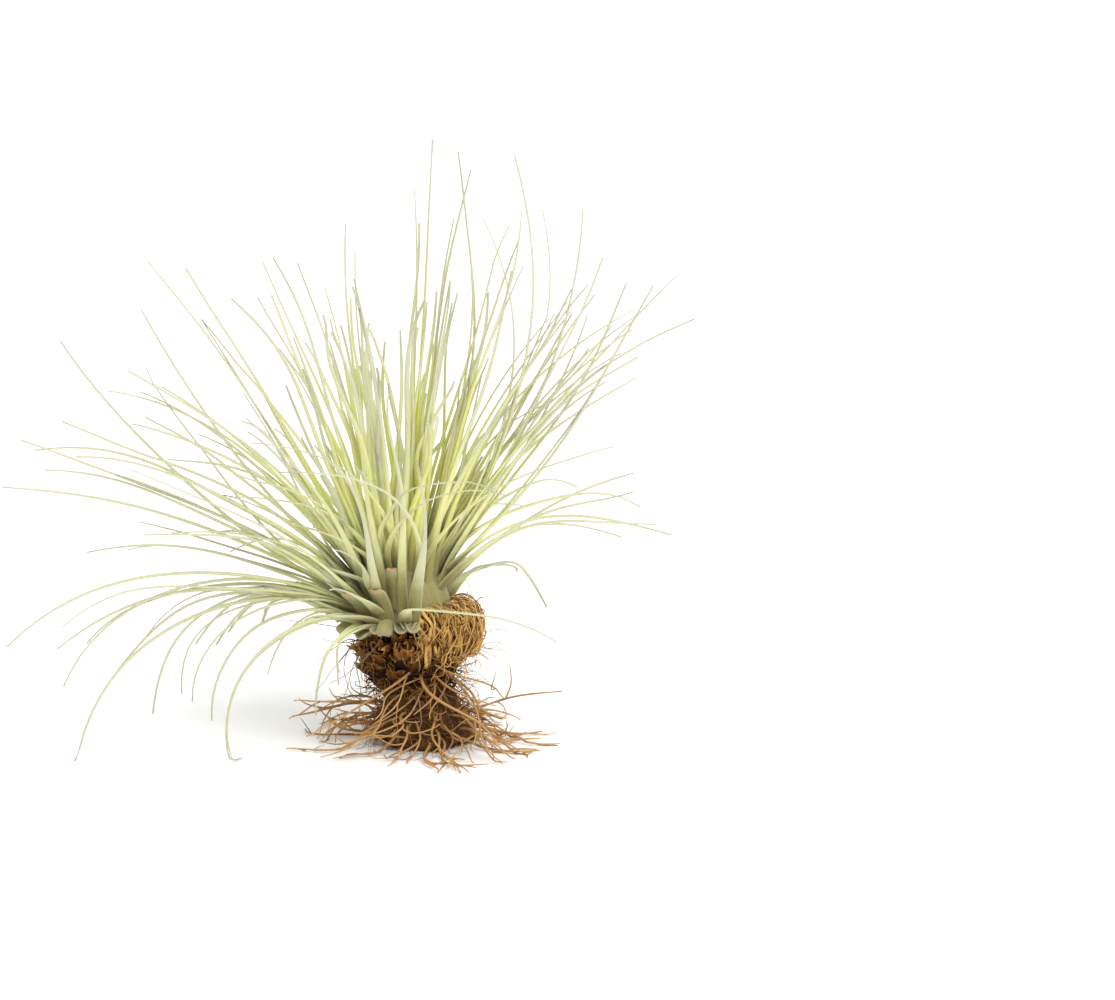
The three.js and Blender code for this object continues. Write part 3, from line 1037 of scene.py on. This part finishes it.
def dry_sheaths(dry, stem):
    """Curled sheaths all the way up, small scraps between them and a ring right under the crown."""
    draw, loose = Draw(dry.seed), Draw(dry.seed + 11)
    radius = dry.radius / MM
    blank, grid = strip_blank(8, 12)
    shapes = []
    for i in range(dry.sheaths):
        share = i / (dry.sheaths - 1)
        way = i * GOLDEN_ANGLE + draw.between(-12, 12)
        height = lerp(COLLAR_FOOT + 2, COLLAR_TOP - 8, share)
        root = on_stem(stem, height, way, radius - lerp(6.5, 3.5, share))
        start = draw.between(66, 84) - leaning(stem, way)
        line = curve(root, way, start, start - draw.between(10, 70), draw.between(9, 13))
        width = draw.between(3.5, 8)
        shapes.append(scale(grid, line, width, 0.32, 110, loose.between(0.2, 1), loose.between(0, 6)))
    for i in range(dry.scraps):
        share = i / (dry.scraps - 1)
        way = i * GOLDEN_ANGLE + 40 + loose.between(-20, 20)
        height = lerp(COLLAR_FOOT + 2, COLLAR_TOP - 1.5, share)
        root = on_stem(stem, height, way, radius - lerp(5.5, 3.4, share))
        start = loose.between(60, 96)
        end = start - loose.between(0, 170) * (i % 2)
        line = curve(root, way, start, end, loose.between(4, 7), loose.between(-60, 60))
        width, arc = loose.between(2.5, 4.5), loose.between(70, 170)
        shapes.append(scale(grid, line, width, 0.26, arc, loose.between(0, 0.9), loose.between(0, 6)))
    for i in range(dry.rim):
        way = i * 360 / dry.rim + loose.between(-7, 7)
        root = on_stem(stem, COLLAR_TOP - loose.between(1.5, 6), way, radius - 4.2)
        start = loose.between(38, 78)
        line = curve(root, way, start, start - loose.between(10, 110), loose.between(5, 8))
        width, arc = loose.between(4, 7), loose.between(90, 140)
        shapes.append(scale(grid, line, width, 0.3, arc, loose.between(0.2, 1), loose.between(0, 6)))
    dress(copies("dry_sheaths", blank, shapes), sheath_finish(), "dry_sheath", "dry_collar")


def ribbon(grid, line, width, arc, draw):
    """A narrow papery strip on a line, creased and torn to a point."""
    phase = draw.between(0, 6)
    shape = strip_shape(
        grid, line, lambda share: width / 2 * np.interp(share, [0, 0.2, 0.75, 1], [0.7, 1, 0.8, 0.15]),
        lambda share: arc, lambda share: 0.22,
        crinkle=lambda across, share: 0.3 * np.sin(7 * share + 2 * across + phase),
    )
    return shape, {"pick": draw.between(0, 1), "run": grid[:, 1]}


def torn_shreds(dry, stem):
    draw = Draw(dry.seed + 53)
    radius = dry.radius / MM
    blank, grid = strip_blank(2, 7)
    shapes = []
    for i in range(dry.shreds):
        share = i / (dry.shreds - 1)
        way = i * GOLDEN_ANGLE + draw.between(-25, 25)
        out = radius - lerp(5.4, 3.2, share) + draw.between(-0.6, 0.6)
        root = on_stem(stem, lerp(COLLAR_FOOT + 1, COLLAR_TOP - 2.5, share), way, out)
        start = draw.between(56, 104) - leaning(stem, way)
        end = start - draw.between(-20, 150)
        line = curve(root, way, start, end, draw.between(3.5, 8), draw.between(-70, 70))
        shapes.append(ribbon(grid, line, draw.between(0.7, 1.9), draw.between(60, 170), draw))
    piece = copies("torn_shreds", blank, shapes)
    dress(piece, bpy.data.materials["papery_sheath"], "dry_sheath", "dry_collar")


def peeling_fibres(dry, stem):
    draw = Draw(dry.seed + 23)
    strands = []
    for _ in range(dry.fibres):
        share, way = draw.between(0, 1), draw.between(0, 360)
        height = lerp(COLLAR_FOOT - 2, COLLAR_TOP, share)
        root = on_stem(stem, height, way, dry.radius / MM - lerp(6.5, 4.0, share))
        beside = direction(way + (90 if draw.between(0, 1) > 0.5 else -90), draw.between(-60, 60))
        heading = direction(way, draw.between(-30, 80)) * draw.between(0.25, 0.9)
        heading = heading + beside * draw.between(0, 0.8)
        path = fibre_path(root, heading, draw, draw.between(6, 18), 0.42, 18)
        strands.append((path, tapered(draw.between(0.18, 0.42)), draw.between(0, 1)))
    material = fibre_finish("peeling_fibre", tint("45240c"), tint("87531f"), dry.straw, 0.15)
    strand_piece("peeling_fibres", 3, 10, strands, material, "dry_sheath", "dry_collar")


def dead_threads(dry, stem):
    draw = Draw(dry.seed + 61)
    strands = []
    for _ in range(dry.threads):
        way = draw.between(150, 250)
        root = on_stem(stem, COLLAR_TOP + draw.between(-2, 6), way, 13)
        heading = direction(way, draw.between(-40, 30))
        path = fibre_path(root, heading, draw, draw.between(12, 32), 0.2, 26, DROOP)
        strands.append((path, tapered(draw.between(0.22, 0.4), 0.4), draw.between(0, 1)))
    material = fibre_finish("dead_thread", tint("4a3a2a"), tint("857558"), tint("6b5a44"), 0.2)
    strand_piece("dead_threads", 4, 20, strands, material, "dry_sheath", "dry_collar")


def bulge(way):
    """How far the bundle stands out at a way, as a share of its reach in the middle."""
    return max(0.1, towards(way, BUNDLE_WAY)) ** 0.7


def bundle_core(dry, stem):
    """The matted middle of the bundle, which fills the gaps between its loops."""
    blank, ball = ball_blank(48, 24)
    outs = np.array([outwards(way, stem) for way in BUNDLE_WAY + BUNDLE_FAN * ball[:, 1]])
    bow = dry.bundle_reach / MM * 0.45 * ball[:, 0] * np.sqrt(np.clip(1.05 - ball[:, 1] ** 2, 0, 1))
    out = dry.radius / MM - 4.5 + bow
    height = COLLAR_TOP + BUNDLE_RISE + 5.4 * ball[:, 2]
    shape = outs * out[:, None] + stem * height[:, None]
    piece = copies("bundle_core", blank, [(shape, {"pick": 0.6, "run": 0.3})])
    roughen(piece, "bundle_grain", 0.003, 0.003)
    dress(piece, mat_finish("bundle_core_mat", dry.dark, dry.brown), "dry_sheath", "dry_collar")


def bundle_line(dry, stem, draw, way, size, wander):
    """A line that rises out of the collar, bows outwards and turns back in, or part of one."""
    swing = np.radians(np.linspace(draw.between(-130, -60), draw.between(20, 170), 25))
    bend, phase = draw.between(-1, 1) * wander, draw.between(0, 6)
    heading = way + bend * np.linspace(-1, 1, 25) + 0.25 * wander * np.sin(phase + 2.5 * swing)
    bow = dry.bundle_reach / MM * size * bulge(way) * (0.5 + 0.5 * np.cos(swing))
    out = dry.radius / MM - 5 + bow + 0.5 * np.sin(phase + 4 * swing)
    height = COLLAR_TOP + BUNDLE_RISE + draw.between(-2, 1.6)
    height = height + size * np.sin(swing) * (6.4 + 3 * np.clip(-np.sin(swing), 0, 1))
    outs = np.array([outwards(one, stem) for one in heading])
    return outs * out[:, None] + stem * height[:, None], direction(heading + 90, 0.0)


def bundle_loops(dry, stem):
    draw = Draw(dry.seed + 37)
    strands = []
    for i in range(dry.loops):
        way = BUNDLE_WAY + BUNDLE_FAN * (draw.between(-1, 1) + draw.between(-1, 1)) / 1.6
        size, wander = draw.between(0.42, 1.1), 26 if i % 6 == 0 else 9
        path, _ = bundle_line(dry, stem, draw, way, size, wander)
        strands.append((path, tapered(draw.between(0.2, 0.5), 0.5), draw.between(0, 1)))
    material = fibre_finish("golden_fibre", dry.brown, dry.golden, dry.straw, 0.12)
    strand_piece("bundle_loops", 4, 16, strands, material, "dry_sheath", "dry_collar")


def bundle_ribbons(dry, stem):
    draw = Draw(dry.seed + 41)
    blank, grid = strip_blank(2, 14)
    shapes = []
    for i in range(dry.ribbons):
        way = BUNDLE_WAY + (46 * draw.between(-1, 1) if i % 3 else draw.between(-62, -34))
        line = bundle_line(dry, stem, draw, way, draw.between(0.5, 1.0), 7)
        shapes.append(ribbon(grid, line, draw.between(0.6, 1.7), draw.between(50, 140), draw))
    piece = copies("bundle_ribbons", blank, shapes)
    dress(piece, bpy.data.materials["golden_fibre"], "dry_sheath", "dry_collar")


def bundle_strays(dry, stem):
    draw = Draw(dry.seed + 47)
    strands = []
    for i in range(dry.strays):
        way = BUNDLE_WAY + 46 * draw.between(-1, 1) if i % 3 else draw.between(-82, -36)
        out = dry.radius / MM - 3 + dry.bundle_reach / MM * bulge(way) * draw.between(0.3, 0.8)
        root = on_stem(stem, COLLAR_TOP + draw.between(-10, 7), way, out)
        heading = direction(way + draw.between(-70, 70), draw.between(-60, 80))
        path = fibre_path(root, heading, draw, draw.between(5, 15), 0.4, 20)
        strands.append((path, tapered(draw.between(0.16, 0.36)), draw.between(0, 1)))
    material = fibre_finish("stray_fibre", tint("5a3a1a"), dry.golden, dry.straw, 0.05)
    strand_piece("bundle_strays", 3, 12, strands, material, "dry_sheath", "dry_collar")


class AIRPLANT_OT_collar(Operator):
    """Model the dry collar: its matted stem, curled sheaths, torn strips, fibres and the looping bundle"""

    bl_idname = "air_plant.collar"
    bl_label = "Dry collar"
    bl_options = {"REGISTER", "UNDO"}

    def execute(self, context):
        pieces = [
            old_stem, dry_sheaths, torn_shreds, peeling_fibres, dead_threads,
            bundle_core, bundle_loops, bundle_ribbons, bundle_strays,
        ]
        for piece in pieces:
            piece(settings("collar"), stem_line())
        return {"FINISHED"}


# Roots


def mound_radius(sizes, height):
    """The matted mound's radius, narrower where it meets the collar."""
    return lerp(sizes.mat_radius / MM, ROOT_NECK, smooth(height, 5, ROOT_TOP))


def root_mat(sizes, stem):
    """The matted mound, flat where it stands."""
    blank, ball = ball_blank(72, 36)
    share = (ball[:, 2] + 1) / 2
    around = unit(ball * np.array([1, 1, 0]))
    height = lerp(0.0, ROOT_TOP + 1.0, share)
    edge = np.interp(share, [0, 0.03, 0.94, 1], [0, 0.93, 0.97, 0])
    lumps = 1 + 0.06 * np.sin(3 * np.arctan2(around[:, 1], around[:, 0]) + height / 2)
    radius = (mound_radius(sizes, height) - 0.8) * edge * lumps
    shape = stem * height[:, None] + around * radius[:, None]
    shape[:, 2] = np.maximum(shape[:, 2], 0)
    piece = copies("root_mat", blank, [(shape, {"pick": 0.3, "run": 0.2})])
    roughen(piece, "root_mat_grain", 0.004, 0.005)
    for vertex in piece.data.vertices:
        vertex.co.z = max(vertex.co.z, 0)
    dress(piece, mat_finish("root_mat_fibre", sizes.mat, sizes.brown), "wiry_root", "root_clump")


def swollen(radius, phase):
    """A radius with slight swellings along it."""
    return lambda share: radius(share) * (1 + 0.12 * np.sin(23 * share + phase))


def wiry_roots(sizes, stem, bark):
    """The roots that leave the mound, and those that leave the collar. Gives each one's path and width."""
    draw, loose = Draw(sizes.seed), Draw(sizes.seed + 5)
    strands, paths = [], []
    for i in range(sizes.roots):
        way = i * GOLDEN_ANGLE + draw.between(-10, 10)
        height = lerp(2.5, 12.5, i / sizes.roots)
        root = stem * height + direction(way, 0.0) * (mound_radius(sizes, height) - 3.5)
        turn, start, end = draw.between(-60, 60), draw.between(-24, 16), draw.between(-60, 0)
        length, wriggle, phase = draw.between(18, 38), draw.between(16, 36), draw.between(0, 6)
        thick = draw.between(0.8, 1.2)
        width = sizes.root_width / MM * thick
        path, _ = curve(root, way, start, end, length, turn, 0, wriggle, phase, 1.1 * thick * 0.8)
        paths.append((path, width))
        radius = swollen(tapered(width, 0.42), loose.between(0, 6))
        strands.append((path, radius, loose.between(0.2, 1)))
    for i in range(sizes.high_roots):
        root = stem * loose.between(20, 28) + direction(loose.between(-80, -15), 0.0) * 11.5
        way = loose.between(-156, -112) if i % 3 else loose.between(-70, -10)
        start, end, length = loose.between(-50, -14), loose.between(-40, 0), loose.between(22, 44)
        turn, wriggle, phase = loose.between(-40, 40), loose.between(14, 40), loose.between(0, 6)
        path, _ = curve(root, way, start, end, length, turn, 0, wriggle, phase)
        width = sizes.root_width / MM * loose.between(0.7, 1.15)
        paths.append((path, width))
        strands.append((path, tapered(width, 0.42), loose.between(0.5, 1)))
    strand_piece("wiry_roots", 6, 18, strands, bark, "wiry_root", "root_clump")
    return paths


def side_roots(sizes, paths, bark):
    draw = Draw(sizes.seed + 13)
    strands = []
    for i in range(sizes.branches):
        trunk, width = paths[i % len(paths)]
        at = int(draw.between(18, 66))
        ahead = unit(trunk[at + 3] - trunk[at])
        side = np.cross(ahead, [0, 0, 1.0]) * (1 if draw.between(0, 1) > 0.5 else -1)
        heading = ahead * draw.between(0.6, 1.1) + side * draw.between(0.4, 0.9)
        heading = heading + np.array([0, 0, draw.between(-0.5, 0.3)])
        path = fibre_path(trunk[at], heading, draw, draw.between(6, 15), 0.22, 16)
        path = np.clip(path, [-41, -41, 0.25], [41, 41, 40])
        strands.append((path, tapered(width * draw.between(0.45, 0.7), 0.4), draw.between(0.2, 1)))
    strand_piece("side_roots", 4, 12, strands, bark, "wiry_root", "root_clump")


def root_hairs(sizes, stem):
    draw = Draw(sizes.seed + 29)
    strands = []
    for i in range(sizes.hairs):
        way = draw.between(0, 360)
        height = draw.between(0.5, 24) if i % 4 else draw.between(18, 30)
        out = mound_radius(sizes, min(height, ROOT_TOP)) - 1.2
        root = stem * height + direction(way, 0.0) * out
        heading = direction(way + draw.between(-80, 80), draw.between(-50, 40))
        path = fibre_path(root, heading, draw, draw.between(7, 20 if height < 18 else 15), 0.5, 20, DROOP)
        strands.append((path, tapered(draw.between(0.14, 0.3), 0.5), draw.between(0, 1)))
    material = fibre_finish("root_hair", tint("54351c"), tint("8c6237"), sizes.tan, 0.2)
    strand_piece("root_hairs", 3, 10, strands, material, "wiry_root", "root_clump")


class AIRPLANT_OT_roots(Operator):
    """Model the root clump: its matted mound, wiry roots, side roots and curly hairs"""

    bl_idname = "air_plant.roots"
    bl_label = "Roots"
    bl_options = {"REGISTER", "UNDO"}

    def execute(self, context):
        sizes, stem = settings("roots"), stem_line()
        bark = fibre_finish("wiry_root_bark", sizes.brown, sizes.tan, sizes.end, 0.1)
        root_mat(sizes, stem)
        paths = wiry_roots(sizes, stem, bark)
        side_roots(sizes, paths, bark)
        root_hairs(sizes, stem)
        return {"FINISHED"}


# Stage

# The point that the camera looks at, in millimetres, and the way that the key light shines.
AIM = (39.75, 0, 74.1)
LIGHT_WAY = (-0.45, 0.65, -1)
LIGHT_SOFTNESS = 40
SENSOR_WIDTH = 36


class AIRPLANT_OT_stage(Operator):
    """Set the pale floor, the soft light and the camera"""

    bl_idname = "air_plant.stage"
    bl_label = "Stage"
    bl_options = {"REGISTER", "UNDO"}

    def execute(self, context):
        stage = settings("stage")
        self.floor(stage)
        self.light(stage)
        self.camera(stage)
        return {"FINISHED"}

    def floor(self, stage):
        def build(nodes):
            roughness = nodes.place().noise(900, 2, 0.5) * 0.1 + 0.75
            return {"Base Color": (*stage.floor, 1.0), "Roughness": roughness, "Specular IOR Level": 0.2}

        clear_selection()
        bpy.ops.mesh.primitive_plane_add(size=stage.floor_size, location=(0, 0, 0))
        floor = bpy.context.object
        floor.name = "floor"
        floor.data.materials.append(finish("pale_floor", build))

    def light(self, stage):
        scene = bpy.context.scene
        scene.world = scene.world or bpy.data.worlds.new("soft_sky")
        scene.world.use_nodes = True
        sky = next(node for node in scene.world.node_tree.nodes if node.type == "BACKGROUND")
        sky.inputs["Color"].default_value = (1, 1, 1, 1)
        sky.inputs["Strength"].default_value = stage.sky
        bpy.ops.object.light_add(type="SUN", location=(0.5, -0.5, 1.6))
        lamp = bpy.context.object
        lamp.name = "key_light"
        lamp.data.energy = stage.key
        lamp.data.angle = math.radians(LIGHT_SOFTNESS)
        lamp.rotation_euler = Vector(LIGHT_WAY).to_track_quat("-Z", "Y").to_euler()

    def camera(self, stage):
        back = Vector((0, -math.cos(stage.elevation), math.sin(stage.elevation)))
        bpy.ops.object.camera_add(location=Vector(AIM) * MM + back * stage.distance)
        camera = bpy.context.object
        camera.name = "photo_camera"
        camera.rotation_euler = (-back).to_track_quat("-Z", "Y").to_euler()
        camera.data.lens = stage.lens
        camera.data.sensor_width = SENSOR_WIDTH
        camera.data.clip_start = 0.01
        camera.data.clip_end = 50
        bpy.context.scene.camera = camera
        bpy.context.scene.view_settings.view_transform = "Standard"


class AIRPLANT_PT_sidebar(Panel):
    """The plant's pieces and their settings"""

    bl_label = "Air Plant"
    bl_idname = "AIRPLANT_PT_sidebar"
    bl_space_type = "VIEW_3D"
    bl_region_type = "UI"
    bl_category = "Air Plant"

    def draw(self, context):
        for name in GROUPS:
            box = self.layout.box()
            held = settings(name)
            for setting in type(held).__annotations__:
                box.prop(held, setting)
            if name in OPERATORS:
                box.operator(OPERATORS[name].bl_idname)


GROUPS = {
    "stem": StemSettings,
    "leaf": LeafSettings,
    "collar": CollarSettings,
    "roots": RootSettings,
    "stage": StageSettings,
}
OPERATORS = {
    "leaf": AIRPLANT_OT_leaves,
    "collar": AIRPLANT_OT_collar,
    "roots": AIRPLANT_OT_roots,
    "stage": AIRPLANT_OT_stage,
}
CLASSES = [*GROUPS.values(), *OPERATORS.values(), AIRPLANT_PT_sidebar]


def register():
    for held in CLASSES:
        bpy.utils.register_class(held)
    for name, group in GROUPS.items():
        setattr(bpy.types.Scene, "air_plant_" + name, PointerProperty(type=group))


def unregister():
    for name in GROUPS:
        delattr(bpy.types.Scene, "air_plant_" + name)
    for held in reversed(CLASSES):
        bpy.utils.unregister_class(held)


def main():
    register()
    bpy.ops.air_plant.leaves()
    bpy.ops.air_plant.collar()
    bpy.ops.air_plant.roots()
    bpy.ops.air_plant.stage()


if __name__ == "__main__":
    main()
